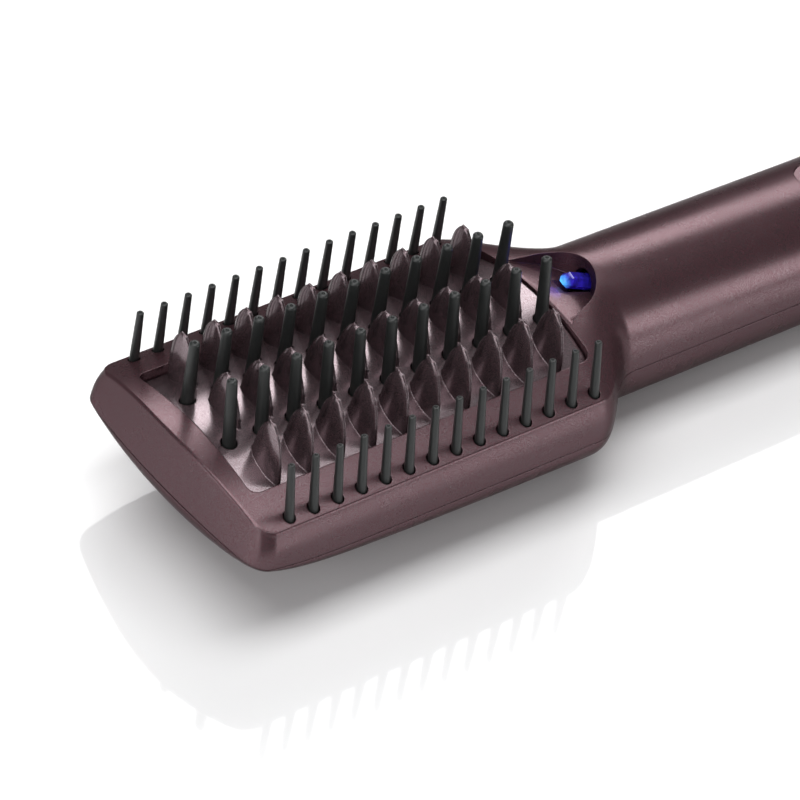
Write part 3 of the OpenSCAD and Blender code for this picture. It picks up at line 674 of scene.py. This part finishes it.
def air_plate():
    plate = prism("fin_plate_smooth", window(-0.3), 8, ABOVE)
    axis_z = PLATE_CREST - PLATE_R
    boolean(plate, cyl_x("c", *SPAN, PLATE_R, 0, axis_z, 720), "INTERSECT")
    boolean(plate, cyl_x("c", *SPAN, PLATE_R - PLATE_T, 0, axis_z, 720), "DIFFERENCE")
    fins = []
    for i in range(FIN_N):
        x = FIN_X + PITCH * i
        x0, x1 = x + SLOT_LAG, x + SLOT_LAG + SLOT_W
        for y0, y1 in SLOTS:
            slot = prism("slot", [(x0, y0), (x1, y0), (x1, y1), (x0, y1)], 5, ABOVE)
            boolean(plate, slot, "DIFFERENCE")
        fins += [fin_mesh(x, MID_FIN, -1), fin_mesh(x, SIDE_FIN, 1), fin_mesh(x, SIDE_FIN, -1)]
    cuts = [turned("hole", *centre_axis(i, s), [(CENTRE_HOLE, -6), (CENTRE_HOLE, 3)], 40)
            for s in (-1, 1) for i in range(CENTRE_N)]
    boolean(plate, join("holes", cuts), "DIFFERENCE")
    ob = join("fin_plate_smooth", [plate] + fins)
    dress(ob, PLATE, "handset", ("fin_plate",), 38)


# bristles
SIDE_H, CENTRE_TOP = 15.6, 37.0      # height of the outer bristles, level of the inner ones' tips
SIDE_BAR_Y = 32.0                    # distance of an outer row's bar from the middle


def pin(base, d, h, r0, r1, root, edge, n=28):
    """Tapered bristle with a rounded rim and a small dimple in its flat tip."""
    prof = [(r0, -root), (r0, 0.0)]
    prof += [(r0 + (r1 - r0) * k / 6, (h - edge) * k / 6) for k in range(1, 7)]
    prof += [(r1 - edge + edge * math.cos(a), h - edge + edge * math.sin(a))
             for a in [math.pi / 2 * k / 5 for k in range(1, 6)]]
    q = (r1 - edge) * 0.82
    prof += [(q, h + 0.02), (q * 0.72, h - 0.07), (q * 0.5, h - 0.22), (q * 0.3, h - 0.10)]
    prof += [(0.03, h - 0.04)]
    return turned("pin", base, d, prof, n)


def comb(name, node, bar, y, pins):
    """A row of bristles on its bar, which is moved sideways by y (mm)."""
    for v in bar.data.vertices:
        v.co.y += y / 1000
    dress(join(name, [bar] + pins), BRISTLE, "handset", (node,), 40)


def combs():
    tall = CENTRE_TOP - plate_z(CENTRE_Y)
    for s, side in ((-1, "near"), (1, "far")):
        bar = prism("bar", rounded(-2, 93.2, 2, 0.6, n=4), 7, 10)
        pins = [pin(*side_axis(i, s), SIDE_H, 1.24, 0.90, 5, 0.34) for i in range(SIDE_N)]
        comb("side_comb_%s_smooth" % side, "side_comb_" + side, bar, s * SIDE_BAR_Y, pins)
        bar = prism("bar", rounded(-2.9, 94.6, 2.15, 0.6, n=4), 12.9, 15.75)
        pins = [pin(*centre_axis(i, s), tall, 1.72, 1.33, 4, 0.72, 36) for i in range(CENTRE_N)]
        comb("centre_comb_%s_smooth" % side, "centre_comb_" + side, bar, s * CENTRE_Y, pins)


# emitter
def emitter():
    o, u, w, d = axis_frame(EMIT, EMIT_D)
    a0 = math.radians(12)            # turn of its six sides
    prof = [(0.95, -0.05), (1.35, 0.22), (2.3, 1.75), (2.42, 2.0), (2.42, 9.6), (2.2, 9.9),
            (2.2, 13.2)]
    rings = []
    for r, h in prof:
        rings.append([tuple(o + d * h + u * p * 0.94 + w * q * 0.86) for p, q in circle(r, 6, a0)])
    dress(loft("emitter_crystal", rings), GLOW, "handset", ("ion_emitter",), 12)


shells()
air_plate()
combs()
emitter()


# floor and light
def stage():
    me = bpy.data.meshes.new("floor")
    me.from_pydata([(-6, -6, 0), (6, -6, 0), (6, 6, 0), (-6, 6, 0)], [], [(0, 1, 2, 3)])
    ob = bpy.data.objects.new("floor", me)
    bpy.context.collection.objects.link(ob)
    m, nodes, links, bsdf = new_mat("floor_white")
    bsdf.inputs["Roughness"].default_value = 0.05
    bsdf.inputs["IOR"].default_value = 1.4
    n = noise(nodes, links, 3, 2.0, 0.5)
    links.new(mix(nodes, links, n.outputs["Fac"], (0.93, 0.93, 0.932), (0.95, 0.95, 0.952)),
              bsdf.inputs["Base Color"])
    me.materials.append(m)


def area(name, loc, target, size, power, size_y=None):
    d = bpy.data.lights.new(name, "AREA")
    d.shape = "RECTANGLE" if size_y else "SQUARE"
    d.size = size
    if size_y:
        d.size_y = size_y
    d.energy = power
    ob = bpy.data.objects.new(name, d)
    bpy.context.collection.objects.link(ob)
    ob.location = loc
    ob.rotation_euler = (Vector(target) - Vector(loc)).to_track_quat("-Z", "Y").to_euler()


def world():
    w = bpy.data.worlds.new("world")
    bpy.context.scene.world = w
    w.use_nodes = True
    nodes, links = w.node_tree.nodes, w.node_tree.links
    bg = nodes["Background"]
    t = nodes.new("ShaderNodeTexCoord")
    sep = nodes.new("ShaderNodeSeparateXYZ")
    links.new(t.outputs["Generated"], sep.inputs[0])
    strength = ramp(nodes, links, sep.outputs["Z"], -0.1, 0.6, *WORLD)
    links.new(strength, bg.inputs["Strength"])
    bg.inputs["Color"].default_value = (0.97, 0.98, 1.0, 1)


def crystal_glow():
    """The dim blue light that the crystal throws on its hollow."""
    d = bpy.data.lights.new("crystal_glow", "POINT")
    d.energy = 0.0008
    d.color = (0.12, 0.10, 1.0)
    d.shadow_soft_size = 0.0025
    ob = bpy.data.objects.new("crystal_glow", d)
    bpy.context.collection.objects.link(ob)
    ob.location = ((103.2 + MX) / 1000, -0.0005, (19.6 + MZ) / 1000)


WORLD = (0.14, 0.10)                 # strength at the horizon and overhead
stage()
world()
area("over", (-0.20, -0.05, 0.90), (-0.20, -0.05, 0), 1.1, 6.6, size_y=0.5)
area("back", (0.74, 0.88, 0.96), (0, 0, 0.02), 1.1, 10, size_y=0.55)
area("front", (0.78, -1.36, 0.34), (0, 0, 0.03), 1.0, 6.4, size_y=0.5)
area("fill", (-1.00, -0.85, 0.95), (0, 0, 0), 1.2, 4)
area("left", (-1.50, -0.10, 0.42), (0, 0, 0.03), 1.7, 8, size_y=0.8)
crystal_glow()

bpy.context.scene.view_settings.view_transform = "Standard"
